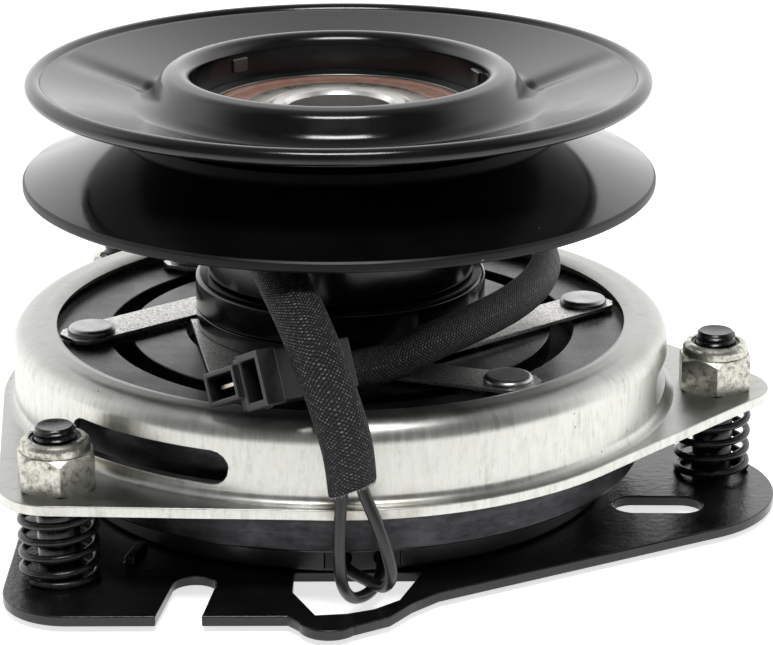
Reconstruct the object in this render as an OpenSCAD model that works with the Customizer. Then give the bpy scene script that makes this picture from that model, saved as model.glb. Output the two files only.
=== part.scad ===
// Electromagnetic blade clutch and brake with V-belt pulley.
// Origin on the rotation axis, at the lowest face of the adjusting stud heads.
// +Z points up towards the pulley, -Y is the side the lead leaves from.

/* [Shaft and hub] */
// Bore radius for a 25.4 mm shaft
bore_r = 12.7; // [10:0.05:14]
// Key width
key_w = 6.35; // [4:0.05:8]
// Solid length left above the keyway
key_stop = 4; // [0:0.5:20]
// Rotor hub length
hub_len = 99.4; // [80:0.1:110]

/* [Pulley] */
// Upper flange rim radius
pulley_r = 76.2; // [60:0.1:90]
// Top of the upper flange rim
rim_top = 108; // [95:0.1:120]
// Radius of the rolled bead on that rim
bead_r = 2.1; // [1.4:0.05:3]
// Lower flange rim radius
lower_r = 77.6; // [60:0.1:90]
// Bottom of the lower flange rim
lower_bot = 80.2; // [70:0.1:95]
// Radius of the groove root
root_r = 53; // [45:0.5:65]
// Pulley sheet thickness
sheet = 2.8; // [1.5:0.1:4]

/* [Brake plate] */
// Drum outer radius
drum_r = 81.5; // [70:0.1:95]
// Drum top
drum_top = 46.3; // [38:0.1:55]
// Underside of the brake plate flange
flange_z = 24.2; // [18:0.1:32]
// Brake plate thickness
plate_t = 2.6; // [1.5:0.1:4]
// Radius of the opening over the armature
open_r = 70.6; // [60:0.1:76]

/* [Studs and springs] */
// Stud circle radius
stud_pcd_r = 93.8; // [85:0.1:105]
// Stud shank radius
stud_r = 4.95; // [3:0.05:6]
// Stud top height
stud_top = 41.4; // [35:0.1:50]
// Spring outer radius
spring_r = 10; // [8:0.1:12]
// Spring wire radius
spring_wire = 1.05; // [0.6:0.05:1.6]
// Nut width across flats
nut_af = 17; // [13:0.1:19]

/* [Mounting plate] */
// Underside of the mounting plate
base_bot = 1.5; // [0.5:0.1:4]
// Top of the mounting plate
base_top = 4.1; // [3:0.1:8]
// End radius of the long slot by the right stud
slot_r = 5.25; // [3:0.05:7]

/* [Armature] */
// Armature outer radius
arm_r = 76; // [70:0.1:78]
// Armature hole radius
arm_in = 38.5; // [36:0.1:45]
// Armature bottom
arm_bot = 37.1; // [36.8:0.05:38]
// Armature top
arm_top = 42.5; // [41:0.1:44]
// Rivet circle radius
rivet_pcd_r = 62.3; // [58:0.1:66]

/* [Hidden] */
stud_deg = [-133.4, -1.4, 130.6];
window_deg = [-123.6, -3.6, 116.4];
rivet_deg = [10, 70, 130, 190, 250, 310];
hub_rivet_r = rivet_pcd_r / 2;
slot_ends = [[72.4, -25.8], [83.9, -26]];
crown_lug_deg = [137, 20];
crown_dimple_deg = [165, 15];
flange_top = flange_z + plate_t;
spring_len = flange_z - base_top;
spring_mean = spring_r - spring_wire;
rotor_face = 36.6;
rotor_rim_r = 75.5;
rotor_rim_in = 68.1;
field_r = 67.5;
field_top = 27.6;
pole_r = 31;
strap_bot = 43.3;
strap_top = 44.3;
hub_r = 36;
low_brg = [17.5, 31, 10, 24];
up_brg = [17.5, 36, 82, 99];
up_pitch = 26.75;
up_ball = 5.55;
low_pitch = 24.25;
low_ball = 3.97;
sleeve_r = 5.2;
wire_r = 1.45;
sleeve_route = [[3.8, -89.7, 34.5], [2.8, -91, 43.8], [0.1, -91, 54.2], [-3.5, -87.5, 63.4],
    [-7.1, -79, 69.6], [-11.4, -67, 74.4], [-16.1, -53, 77.8], [-26, -41, 79], [-38, -28, 78.5],
    [-46.5, -6, 76.5], [-42.5, 20, 74], [-28, 38.5, 71.5], [-5, 47, 69], [19, 44, 66.5],
    [37.5, 35.5, 63.5], [49, 23, 60], [52, 9, 57.5], [48.5, -8, 56], [41.5, -23, 55.3],
    [31.5, -37, 54.8], [21, -48, 53.7], [11.5, -55.8, 51.8], [4.5, -60.6, 52.1], [-0.4, -64.2, 52.7]];
wire_a_route = [[10.2, -65, 8], [10.4, -69, 7.4], [9.6, -74, 5.3], [7, -79, 4], [3.6, -83.6, 5],
    [1.4, -88, 10], [0.8, -90, 17], [0.9, -90.2, 25], [1.5, -89.8, 33.5]];
wire_b_route = [[1.4, -65, 8], [1.2, -69, 8], [2.6, -74, 7.7], [6.6, -79.5, 7.6], [10.6, -84.5, 8],
    [12.4, -88.6, 12.5], [11.6, -90.4, 18.5], [9.2, -90.6, 26], [6.2, -90, 34]];
conn_pos = [-1.3, -65.1, 53];
conn_turn = [-26, 5, 40];
conn_len = 26.5;

black = [0.07, 0.07, 0.08];
zinc = [0.78, 0.78, 0.74];
steel = [0.6, 0.6, 0.62];
dark = [0.2, 0.2, 0.22];

// ---- helpers -------------------------------------------------------
function polar(r, a) = [r * cos(a), r * sin(a)];

function unit(v) = v / norm(v);

// Outer tangent point of circle a on the line to circle b, both [x, y, r], going round anticlockwise.
function tangent_a(a, b) =
    let (d = [b[0] - a[0], b[1] - a[1]], l = norm(d), e = d / l, s = (a[2] - b[2]) / l, c = sqrt(1 - s * s))
    [a[0] + a[2] * (e[0] * s + e[1] * c), a[1] + a[2] * (e[1] * s - e[0] * c)];

function tangent_b(a, b) =
    let (d = [b[0] - a[0], b[1] - a[1]], l = norm(d), e = d / l, s = (a[2] - b[2]) / l, c = sqrt(1 - s * s))
    [b[0] + b[2] * (e[0] * s + e[1] * c), b[1] + b[2] * (e[1] * s - e[0] * c)];

// Filled outline round circles [x, y, r] listed anticlockwise.
module round_outline(cs) {
    n = len(cs);
    polygon([for (i = [0 : n - 1], k = [0, 1])
        k == 0 ? tangent_a(cs[i], cs[(i + 1) % n]) : tangent_b(cs[i], cs[(i + 1) % n])]);
    for (c = cs)
        translate([c[0], c[1]]) circle(r = c[2], $fn = 96);
}

// Ring of rectangular section between two radii and two heights.
module ring(r1, r2, z1, z2, fn = 128) {
    rotate_extrude($fn = fn)
        translate([r1, z1]) square([r2 - r1, z2 - z1]);
}

module sector(r, a1, a2, h) {
    n = 8;
    linear_extrude(height = h)
        polygon(concat([[0, 0]], [for (i = [0 : n]) polar(r, a1 + (a2 - a1) * i / n)]));
}

module arc_slot(r1, r2, a1, a2, z, h) {
    translate([0, 0, z])
        intersection() {
            ring(r1, r2, 0, h);
            translate([0, 0, -1]) sector(r2 + 20, a1, a2, h + 2);
        }
}

// Flat slot outline with rounded ends, long along X.
module long_slot(half_len, r) {
    n = 8;
    polygon(concat([for (i = [0 : n]) [half_len - r, 0] + polar(r, -90 + 180 * i / n)],
        [for (i = [0 : n]) [r - half_len, 0] + polar(r, 90 + 180 * i / n)]));
}

// Smooth route through points and a tube swept along it.
function spline_pt(p, i, t) =
    let (n = len(p), a = p[max(i - 1, 0)], b = p[i], c = p[min(i + 1, n - 1)], d = p[min(i + 2, n - 1)])
    0.5 * (2 * b + (c - a) * t + (2 * a - 5 * b + 4 * c - d) * t * t + (3 * b - a - 3 * c + d) * t * t * t);

function smooth(p, k) = concat([for (i = [0 : len(p) - 2], j = [0 : k - 1]) spline_pt(p, i, j / k)], [p[len(p) - 1]]);

function tangents(q) = [for (i = [0 : len(q) - 1]) unit(q[min(i + 1, len(q) - 1)] - q[max(i - 1, 0)])];

function carry(ts, i, n) =
    i >= len(ts) ? [] : let (m = unit(n - (n * ts[i]) * ts[i])) concat([m], carry(ts, i + 1, m));

module tube(q, r, sides) {
    ts = tangents(q);
    ns = carry(ts, 0, [1, 0.01, 0.02]);
    n = len(q);
    pts = [for (i = [0 : n - 1], j = [0 : sides - 1])
        q[i] + r * (cos(360 * j / sides) * ns[i] + sin(360 * j / sides) * cross(ts[i], ns[i]))];
    walls = [for (i = [0 : n - 2], j = [0 : sides - 1])
        [i * sides + j, (i + 1) * sides + j, (i + 1) * sides + (j + 1) % sides, i * sides + (j + 1) % sides]];
    polyhedron(points = pts, faces = concat([[for (j = [0 : sides - 1]) j]], walls,
        [[for (j = [sides - 1 : -1 : 0]) (n - 1) * sides + j]]), convexity = 10);
}

// ---- stationary field ---------------------------------------------
module base_outline() {
    round_outline([[0, 0, 72], [-61, 75.6, 16], [-61, -75.6, 16]]);
    translate([77, -14]) circle(r = 31, $fn = 96);
    polygon([[-61, -91.6], [-11, -91.6], [-7.4, -95.8], [4.2, -96.8], [12.2, -92], [17.2, -84.8], [23.4, -78.6],
        [91.84, -41.2], [77, -14], [0, 0], [-61, -70]]);
    translate([-1.6, -92.4]) circle(r = 7.2, $fn = 48);
}

module mounting_plate() {
    color(black)
    union() {
        difference() {
            translate([0, 0, base_bot]) linear_extrude(height = base_top - base_bot) base_outline();
            translate([0, 0, base_bot - 1]) {
                cylinder(r = 26, h = 10, $fn = 96);
                linear_extrude(height = 10)
                    polygon([[-10.2, -67], [19.6, -67], [14.2, -82.6], [8.5, -87.6], [2, -90.2], [-4.6, -90.9],
                        [-10.2, -78]]);
                translate([-33, -74, 0]) cylinder(r = 5.2, h = 10, $fn = 48);
                linear_extrude(height = 10)
                    polygon([[-38.2, -74], [-27.9, -72.6], [-30.8, -95], [-41.3, -95]]);
                hull() for (p = slot_ends) translate([p[0], p[1], 0]) cylinder(r = slot_r, h = 10, $fn = 48);
                for (a = stud_deg)
                    translate([stud_pcd_r * cos(a), stud_pcd_r * sin(a), 0])
                        cylinder(r = stud_r, h = 10, $fn = 48);
            }
        }
        translate([-47.8, -57, base_top - 0.3]) rotate([0, 0, 76])
            translate([-5, -1.2, 0]) cube([10, 2.4, 2.1]);
    }
}

module stud_profile() {
    n = 5;
    polygon(concat([[0, 0], [7.6, 0], [8, 0.4], [8, base_bot], [stud_r, base_bot], [stud_r, stud_top - 6.6]],
        [for (i = [0 : n - 1], k = [0 : 2])
            [k == 1 ? stud_r - 0.55 : stud_r, stud_top - 6.5 + i * 1.1 + k * 0.5]],
        [[stud_r, stud_top - 0.7], [stud_r - 0.6, stud_top], [0, stud_top]]));
}

module adjusting_studs() {
    color(dark)
    for (a = stud_deg)
        translate([stud_pcd_r * cos(a), stud_pcd_r * sin(a), 0])
            rotate_extrude($fn = 48) stud_profile();
}

module field_shell() {
    color(black)
    difference() {
        rotate_extrude($fn = 128)
            difference() {
                union() {
                    translate([27, base_top]) square([field_r - 27, 4]);
                    translate([pole_r, base_top]) square([6.4, field_top - base_top]);
                    translate([field_r - 4.2, base_top]) square([4.2, field_top - base_top]);
                }
                translate([27, 10]) square([pole_r - 27, 30]);
                translate([field_r, base_top]) rotate([0, 0, 45]) square([1.1, 1.1], center = true);
            }
        translate([-3, -field_r - 2, 5.2]) cube([17.6, 8, 5.6]);
    }
}

module coil_bobbin() {
    color([0.12, 0.12, 0.12])
    rotate_extrude($fn = 128)
        union() {
            translate([37.6, 8.3]) square([1.2, 17]);
            translate([37.6, 8.3]) square([25, 1.2]);
            translate([37.6, 24.1]) square([25, 1.2]);
        }
}

module coil_winding() {
    color([0.72, 0.38, 0.2])
    ring(39, 62, 9.7, 23.9);
}

module coil_potting() {
    color([0.1, 0.1, 0.1])
    ring(37.6, 63.1, 25.5, 27);
}

// ---- bearings: [inner r, outer r, bottom z, top z] -----------------
module race(r1, r2, z1, z2, pitch, ball) {
    rotate_extrude($fn = 96)
        difference() {
            translate([r1, z1]) square([r2 - r1, z2 - z1]);
            translate([pitch, (z1 + z2) / 2]) circle(r = ball + 0.06, $fn = 48);
        }
}

module cage(pitch, ball, zc, count, r1, r2, half) {
    difference() {
        ring(r1, r2, zc - half, zc + half, 96);
        for (i = [0 : count - 1])
            rotate([0, 0, 360 * i / count]) translate([pitch, 0, zc]) sphere(r = ball + 0.12, $fn = 32);
    }
}

module balls(pitch, ball, zc, count) {
    for (i = [0 : count - 1])
        rotate([0, 0, 360 * i / count]) translate([pitch, 0, zc]) sphere(r = ball, $fn = 32);
}

module lower_bearing_outer_race() {
    color(steel)
    race(27.6, low_brg[1], low_brg[2], low_brg[3], low_pitch, low_ball);
}

module lower_bearing_inner_race() {
    color(steel)
    race(low_brg[0], 20.9, low_brg[2], low_brg[3], low_pitch, low_ball);
}

module lower_bearing_seals() {
    color([0.12, 0.1, 0.1])
    union() {
        ring(21.2, 27.5, 10.3, 11.2);
        ring(21.2, 27.5, 22.8, 23.7);
    }
}

module lower_bearing_cage() {
    color([0.75, 0.6, 0.35])
    cage(low_pitch, low_ball, 17, 11, 22.9, 25.6, 4.8);
}

module lower_bearing_balls() {
    color(steel)
    balls(low_pitch, low_ball, 17, 11);
}

module upper_bearing_outer_race() {
    color(steel)
    race(31.6, up_brg[1], up_brg[2], up_brg[3], up_pitch, up_ball);
}

module upper_bearing_inner_race() {
    color(steel)
    race(up_brg[0], 23.1, up_brg[2], up_brg[3], up_pitch, up_ball);
}

module upper_bearing_seals() {
    color([0.45, 0.2, 0.13])
    for (z = [82.4, 97.5])
        rotate_extrude($fn = 96)
            difference() {
                translate([23.4, z]) square([8.1, 1.1]);
                translate([25.4, z + (z > 90 ? 0.8 : -0.1)]) square([4.2, 0.4]);
            }
}

module upper_bearing_cage() {
    color([0.75, 0.6, 0.35])
    cage(up_pitch, up_ball, 90.5, 9, 25.2, 28.4, 6.5);
}

module upper_bearing_balls() {
    color(steel)
    balls(up_pitch, up_ball, 90.5, 9);
}

// ---- lead and connector --------------------------------------------
module lead_grommet() {
    color([0.05, 0.05, 0.05])
    difference() {
        intersection() {
            translate([-2.9, -field_r - 1, 5.3]) cube([17.4, 8, 5.4]);
            ring(field_r - 4.1, field_r + 0.1, 5, 11);
        }
        for (p = [wire_a_route[0], wire_b_route[0]])
            translate([p[0], -80, p[2] - 0.2]) rotate([-90, 0, 0]) cylinder(r = wire_r + 0.5, h = 40, $fn = 24);
    }
}

module lead_wire_a() {
    color([0.05, 0.05, 0.05])
    tube(smooth(wire_a_route, 4), wire_r, 8);
}

module lead_wire_b() {
    color([0.05, 0.05, 0.05])
    tube(smooth(wire_b_route, 4), wire_r, 8);
}

module braided_sleeve() {
    color([0.08, 0.08, 0.08])
    tube(smooth(sleeve_route, 3), sleeve_r, 10);
}

module conn_place() {
    translate(conn_pos) rotate(conn_turn) children();
}

module connector_housing() {
    color([0.06, 0.06, 0.07])
    conn_place()
        difference() {
            union() {
                translate([2 - conn_len, -9, -5.2]) cube([conn_len - 2, 12, 11.6]);
                translate([-conn_len, -9.6, -5.8]) cube([5, 8.6, 12.6]);
                translate([-conn_len - 1, -1, -2.6]) cube([12, 11.8, 7.8]);
            }
            translate([-conn_len - 1, -7.9, -4.1]) cube([17, 5.2, 9.2]);
            translate([-conn_len - 2, 0.4, -1.4]) cube([10, 9.2, 5.4]);
        }
}

module connector_terminals() {
    color([0.8, 0.75, 0.6])
    conn_place()
        union() {
            translate([2.5 - conn_len, -5.7, -3]) cube([13.5, 0.8, 7]);
            translate([1.5 - conn_len, 1.6, 0.9]) cube([6.5, 6.8, 0.8]);
        }
}

// ---- brake plate adjustment ----------------------------------------
module coil_spring(a) {
    turns = 5.5;
    steps = 14;
    z0 = base_top + spring_wire;
    z1 = flange_z - spring_wire;
    n = turns * steps;
    q = [for (i = [0 : n])
        let (u = i / n, w = min(max((u - 0.09) / 0.82, 0), 1))
        [spring_mean * cos(a + 360 * i / steps), spring_mean * sin(a + 360 * i / steps), z0 + (z1 - z0) * w]];
    translate([stud_pcd_r * cos(a), stud_pcd_r * sin(a), 0]) tube(q, spring_wire, 8);
}

module air_gap_spring_left() {
    color(black)
    coil_spring(stud_deg[0]);
}

module air_gap_spring_right() {
    color(black)
    coil_spring(stud_deg[1]);
}

module air_gap_spring_rear() {
    color(black)
    coil_spring(stud_deg[2]);
}

module nut_body(a, turn) {
    translate([stud_pcd_r * cos(a), stud_pcd_r * sin(a), flange_top]) rotate([0, 0, turn])
        difference() {
            union() {
                intersection() {
                    cylinder(r = nut_af / 2 / cos(30), h = 8.8, $fn = 6);
                    rotate_extrude($fn = 64)
                        polygon([[0, 0], [8.9, 0], [9.9, 0.6], [9.9, 7.4], [8.5, 8.8], [0, 8.8]]);
                }
                rotate_extrude($fn = 64)
                    polygon([[0, 8], [8.1, 8], [8.1, 10.4], [7.7, 11.3], [6.9, 11.8], [0, 11.8]]);
            }
            translate([0, 0, -1]) cylinder(r = stud_r + 0.08, h = 14, $fn = 48);
            translate([0, 0, 8.9]) cylinder(r = 6.9, h = 1.9, $fn = 48);
            translate([0, 0, 8.9]) cylinder(r = 6.1, h = 4, $fn = 48);
        }
}

module adjusting_nut_left() {
    color(zinc)
    nut_body(stud_deg[0], 41);
}

module adjusting_nut_right() {
    color(zinc)
    nut_body(stud_deg[1], 28);
}

module adjusting_nut_rear() {
    color(zinc)
    nut_body(stud_deg[2], 5);
}

module nut_insert(a) {
    translate([stud_pcd_r * cos(a), stud_pcd_r * sin(a), flange_top])
        rotate_extrude($fn = 48)
            polygon([[stud_r + 0.08, 9], [6.8, 9], [6.8, 10.7], [6, 10.7], [6, 11.3], [stud_r + 0.3, 11.3],
                [stud_r + 0.08, 10.9]]);
}

module nut_insert_left() {
    color([0.15, 0.15, 0.2])
    nut_insert(stud_deg[0]);
}

module nut_insert_right() {
    color([0.15, 0.15, 0.2])
    nut_insert(stud_deg[1]);
}

module nut_insert_rear() {
    color([0.15, 0.15, 0.2])
    nut_insert(stud_deg[2]);
}

// ---- brake plate ----------------------------------------------------
// Points of an arc about [x, y], from angle a1 to a2.
function arc(c, r, a1, a2, n = 12) = [for (i = [0 : n]) c + polar(r, a1 + (a2 - a1) * i / n)];

module drum_profile() {
    shoulder = 5.5;
    lip = 6;
    foot = 2.4;
    lip_c = [open_r + 3.4, drum_top - lip];
    shoulder_c = [drum_r - shoulder, drum_top - shoulder];
    sunk = flange_top - 0.2;
    polygon(concat(
        [[drum_r + foot, flange_z], [drum_r + foot, sunk]],
        arc([drum_r + foot, flange_top + foot], foot, 258, 180),
        arc(shoulder_c, shoulder, 0, 90),
        arc(lip_c, lip, 90, 125, 5),
        arc(lip_c, lip - plate_t, 125, 90, 5),
        arc(shoulder_c, shoulder - plate_t, 90, 0),
        arc([drum_r - plate_t + foot, flange_z + foot], foot, 180, 270)));
}

// Flange with its three ears, outside the drum wall.
module brake_flange() {
    disc = [0, 0, drum_r + 3.1];
    ears = [for (a = stud_deg) [stud_pcd_r * cos(a), stud_pcd_r * sin(a), 13.6]];
    // the webs end just inside the round outlines
    core = disc - [0, 0, 0.05];
    translate([0, 0, flange_z])
        linear_extrude(height = plate_t)
            difference() {
                union() {
                    circle(r = disc[2], $fn = 160);
                    for (e = ears, w = [e - [0, 0, 0.05]]) {
                        polygon([tangent_a(core, w), tangent_b(core, w), tangent_a(w, core), tangent_b(w, core)]);
                        translate([e[0], e[1]]) circle(r = e[2], $fn = 96);
                    }
                }
                circle(r = drum_r + 1.2, $fn = 160);
            }
}

module brake_plate() {
    color(zinc)
    difference() {
        union() {
            brake_flange();
            rotate_extrude($fn = 160) drum_profile();
        }
        for (a = stud_deg)
            translate([stud_pcd_r * cos(a), stud_pcd_r * sin(a), flange_z - 1])
                cylinder(r = 5.7, h = plate_t + 2, $fn = 48);
        for (a = window_deg)
            rotate([0, 0, a]) translate([60, 0, 34]) rotate([90, 0, 90])
                linear_extrude(height = 40) long_slot(22.6, 4);
    }
}

module brake_pads() {
    color([0.3, 0.25, 0.2])
    for (a = [56, 176, 296])
        intersection() {
            rotate_extrude($fn = 128)
                polygon([[72.8, 42.65], [76.8, 42.65], [76.8, 43.5], [76, 43.65], [74, 43.65], [72.8, 43.4]]);
            translate([0, 0, 42]) rotate([0, 0, a]) sector(100, -24, 24, 3);
        }
}

// ---- rotor -----------------------------------------------------------
module rotor_disc() {
    color(dark)
    difference() {
        rotate_extrude($fn = 160)
            polygon([[24, 28.4], [rotor_rim_in, 28.4], [rotor_rim_in, 12.4], [rotor_rim_r - 0.5, 12.4],
                [rotor_rim_r, 12.9], [rotor_rim_r, rotor_face - 0.6], [rotor_rim_r - 0.6, rotor_face],
                [60, rotor_face], [60, rotor_face - 2.5], [50, rotor_face - 2.5], [50, rotor_face],
                [24, rotor_face]]);
        for (a = [0, 90, 180, 270]) {
            arc_slot(44, 47, a + 10, a + 80, 27, 12);
            arc_slot(62.5, 65.5, a - 35, a + 35, 27, 12);
        }
    }
}

module friction_ring() {
    color([0.35, 0.28, 0.22])
    ring(50, 60, rotor_face - 2.5, rotor_face);
}

module rotor_hub() {
    color(steel)
    difference() {
        rotate_extrude($fn = 96)
            polygon([[bore_r, 0], [16.9, 0], [17.5, 0.6], [17.5, 24], [21, 24], [21, 28.4], [24, 28.4],
                [24, rotor_face], [21, rotor_face], [21, 82], [17.5, 82], [17.5, hub_len - 1.2],
                [16.3, hub_len], [bore_r + 1, hub_len], [bore_r, hub_len - 1]]);
        translate([-key_w / 2, bore_r - 3, -1]) cube([key_w, 5.7, hub_len - key_stop + 1]);
    }
}

// ---- pulley ------------------------------------------------------------
module upper_flange_profile() {
    // crown wall, crown bead, valley, flange, rolled rim
    difference() {
        union() {
            translate([36, 80.4]) square([sheet, 24.5]);
            translate([39.2, 104.9]) circle(r = 3.4, $fn = 64);
            polygon([[38.8, 98], [38.8, 104.9], [42.4, 105.9], [46.2, 100.6], [50, 99.5], [root_r + 1, 99.7],
                [root_r + 1, 96.7], [50, 96.4], [44.6, 97.4], [41.4, 101.6]]);
            polygon([[root_r, 96.6], [pulley_r - 1.8, rim_top - 3.6], [pulley_r - 1.8, rim_top - 0.8],
                [root_r, 99.6]]);
            translate([pulley_r - bead_r, rim_top - bead_r]) circle(r = bead_r, $fn = 48);
        }
        translate([30, 80]) square([6, 40]);
        translate([38.9, 98]) polygon([[0, 0], [0, 6.2], [1.6, 5.2], [3.2, 1.2], [3, -1.4], [0, -1.4]]);
    }
}

module pulley_upper_flange() {
    color(black)
    difference() {
        union() {
            rotate_extrude($fn = 160) upper_flange_profile();
            for (a = crown_lug_deg)
                rotate([0, 0, a]) translate([35.2, -2.4, 101.1]) cube([1.6, 4.8, 3.6]);
        }
        for (a = crown_dimple_deg)
            rotate([0, 0, a]) translate([49.6, 0, 102]) sphere(r = 3.9, $fn = 32);
    }
}

module pulley_lower_flange() {
    t = 2.7;
    cone_top = 93.4;
    web_top = 89.4;
    color(black)
    rotate_extrude($fn = 160)
        polygon([[lower_r - 0.5, lower_bot], [lower_r, lower_bot + 0.5], [lower_r, lower_bot + t - 0.4],
            [lower_r - 0.4, lower_bot + t], [root_r, cone_top], [root_r, 96.2], [root_r - t, 96.2],
            [root_r - t, web_top + 1.6], [root_r - t - 1.6, web_top], [38.8, web_top], [38.8, web_top - t],
            [54, web_top - t], [57.5, 88.6]]);
}

module pulley_hub() {
    color(black)
    rotate_extrude($fn = 128)
        polygon([[23.6, 57.2], [32.4, 57.2], [33, 57.8], [33, 76.6], [38.8, 79.4], [38.8, 80.4], [36, 80.4],
            [36, 82], [30.6, 82], [30.6, 76], [23.6, 72]]);
}

module hub_drive_flange() {
    color(black)
    difference() {
        rotate_extrude($fn = 128)
            polygon([[23.6, 48.8], [hub_r - 0.3, 48.8], [hub_r, 49.1], [hub_r, 56.4], [hub_r - 0.8, 57.2],
                [23.6, 57.2]]);
        for (a = rivet_deg)
            rotate([0, 0, a]) translate([hub_rivet_r, 0, 48]) cylinder(r = 2.6, h = 7, $fn = 24);
    }
}

module hub_clamp_ring() {
    color(black)
    difference() {
        ring(23.6, hub_r, strap_top, 48.7);
        for (a = rivet_deg)
            rotate([0, 0, a]) translate([hub_rivet_r, 0, 40]) cylinder(r = 2.6, h = 12, $fn = 24);
    }
}

module hub_backing_ring() {
    color(black)
    difference() {
        ring(23.6, 35.6, 40.2, strap_bot);
        for (a = rivet_deg)
            rotate([0, 0, a]) translate([hub_rivet_r, 0, 38]) cylinder(r = 2.6, h = 12, $fn = 24);
    }
}

module hub_rivets() {
    color(steel)
    for (a = rivet_deg)
        rotate([0, 0, a]) translate([hub_rivet_r, 0, 0])
            rotate_extrude($fn = 24)
                polygon([[0, 38.8], [3.6, 38.8], [4.2, 39.4], [4.2, 40.2], [2.6, 40.2], [2.6, 55], [0, 55]]);
}

module strap() {
    // from the armature rivet at [rivet_pcd_r, 0] to the hub rivet, 60 degrees back
    w = 6;
    p0 = [rivet_pcd_r, 0];
    p1 = polar(hub_rivet_r, -60);
    d = unit(p1 - p0);
    s = [-d[1], d[0]];
    translate([0, 0, strap_bot]) linear_extrude(height = strap_top - strap_bot)
        difference() {
            polygon([p0 - 4.6 * d + w * s, p0 - 7 * d + 3.4 * s, p0 - 7 * d - 3.4 * s, p0 - 4.6 * d - w * s,
                p1 + 5.2 * d - w * s, p1 + 5.2 * d + w * s]);
            translate(p0) circle(r = 3.3, $fn = 32);
            translate(p1) circle(r = 2.6, $fn = 32);
        }
}

module leaf_springs() {
    color([0.75, 0.75, 0.73])
    for (a = rivet_deg)
        rotate([0, 0, a]) strap();
}

// ---- armature ------------------------------------------------------------
module armature_disc() {
    color(dark)
    difference() {
        ring(arm_in, arm_r, arm_bot, arm_top, 160);
        for (a = [127, 7, 247])
            arc_slot(52.5, 58, a - 53, a + 53, arm_bot - 1, 8);
        for (a = rivet_deg)
            rotate([0, 0, a]) translate([rivet_pcd_r, 0, arm_bot - 1]) cylinder(r = 3.3, h = 8, $fn = 32);
        rotate_extrude($fn = 160)
            translate([arm_r, arm_top]) rotate([0, 0, 45]) square([0.9, 0.9], center = true);
    }
}

module armature_rivets() {
    color(steel)
    for (a = rivet_deg)
        rotate([0, 0, a]) translate([rivet_pcd_r, 0, 0])
            rotate_extrude($fn = 48)
                polygon([[0, arm_bot + 0.2], [3.3, arm_bot + 0.2], [3.3, arm_top], [5.2, arm_top],
                    [5.2, strap_bot], [3.3, strap_bot], [3.3, strap_top], [5.9, strap_top], [5.9, 45.2],
                    [5.4, 45.8], [4.6, 46], [0, 46]]);
}

mounting_plate();
adjusting_studs();
field_shell();
coil_bobbin();
coil_winding();
coil_potting();
lower_bearing_outer_race();
lower_bearing_seals();
lead_grommet();
lead_wire_a();
lead_wire_b();
braided_sleeve();
connector_housing();
connector_terminals();
air_gap_spring_left();
air_gap_spring_right();
air_gap_spring_rear();
lower_bearing_cage();
lower_bearing_balls();
rotor_disc();
rotor_hub();
friction_ring();
lower_bearing_inner_race();
upper_bearing_inner_race();
upper_bearing_cage();
upper_bearing_balls();
pulley_upper_flange();
pulley_lower_flange();
pulley_hub();
upper_bearing_outer_race();
upper_bearing_seals();
hub_drive_flange();
hub_clamp_ring();
hub_backing_ring();
hub_rivets();
leaf_springs();
armature_disc();
armature_rivets();
brake_plate();
brake_pads();
adjusting_nut_left();
adjusting_nut_right();
adjusting_nut_rear();
nut_insert_left();
nut_insert_right();
nut_insert_rear();
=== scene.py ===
"""Looks of the electromagnetic clutch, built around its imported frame.

Metres, +Z up along the rotation axis, -Y towards the camera. Lengths in the tables below are in
millimetres and are turned into metres by mm() and by the mesh builders.
"""

import math

import bmesh
import bpy
import numpy as np
from mathutils import Matrix, Vector


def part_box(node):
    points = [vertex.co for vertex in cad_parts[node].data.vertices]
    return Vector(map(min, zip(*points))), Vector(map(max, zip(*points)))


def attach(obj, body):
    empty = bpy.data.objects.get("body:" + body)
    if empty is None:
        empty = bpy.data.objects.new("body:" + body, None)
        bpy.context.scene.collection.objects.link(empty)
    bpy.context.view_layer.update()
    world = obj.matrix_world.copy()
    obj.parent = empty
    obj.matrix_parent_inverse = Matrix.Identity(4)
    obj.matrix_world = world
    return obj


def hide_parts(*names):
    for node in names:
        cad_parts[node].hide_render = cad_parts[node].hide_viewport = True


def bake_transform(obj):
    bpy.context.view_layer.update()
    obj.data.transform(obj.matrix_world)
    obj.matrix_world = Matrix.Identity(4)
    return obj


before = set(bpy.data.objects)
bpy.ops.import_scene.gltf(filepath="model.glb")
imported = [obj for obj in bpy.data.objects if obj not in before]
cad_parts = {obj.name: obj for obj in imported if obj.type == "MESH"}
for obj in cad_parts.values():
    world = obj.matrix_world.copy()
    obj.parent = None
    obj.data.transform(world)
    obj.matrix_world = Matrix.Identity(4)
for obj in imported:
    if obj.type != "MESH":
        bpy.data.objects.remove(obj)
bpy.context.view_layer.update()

MM = 0.001
FIELD, ROTOR, PULLEY = "field", "rotor", "pulley"
ARMATURE, BRAKE = "armature", "brake_plate"


def mm(*values):
    return Vector([v * MM for v in values])


# ---- camera ---------------------------------------------------------------
CAMERA_PLACE = (0.01145, -0.68654, 0.27456)
CAMERA_DOWN = 18.654
CAMERA_ROLL = -0.137
CAMERA_LENS = 134.67


def add_camera():
    """The photo's viewpoint, fitted to the object's ring edges: angles in degrees, the lens in mm."""
    data = bpy.data.cameras.new("camera")
    data.sensor_width = 36
    data.lens = CAMERA_LENS
    data.clip_start = 0.01
    camera = bpy.data.objects.new("camera", data)
    tilt = Matrix.Rotation(math.radians(90 - CAMERA_DOWN), 4, "X")
    roll = Matrix.Rotation(math.radians(CAMERA_ROLL), 4, "Z")
    camera.matrix_world = Matrix.Translation(CAMERA_PLACE) @ tilt @ roll
    bpy.context.scene.collection.objects.link(camera)
    bpy.context.scene.camera = camera


add_camera()


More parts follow.
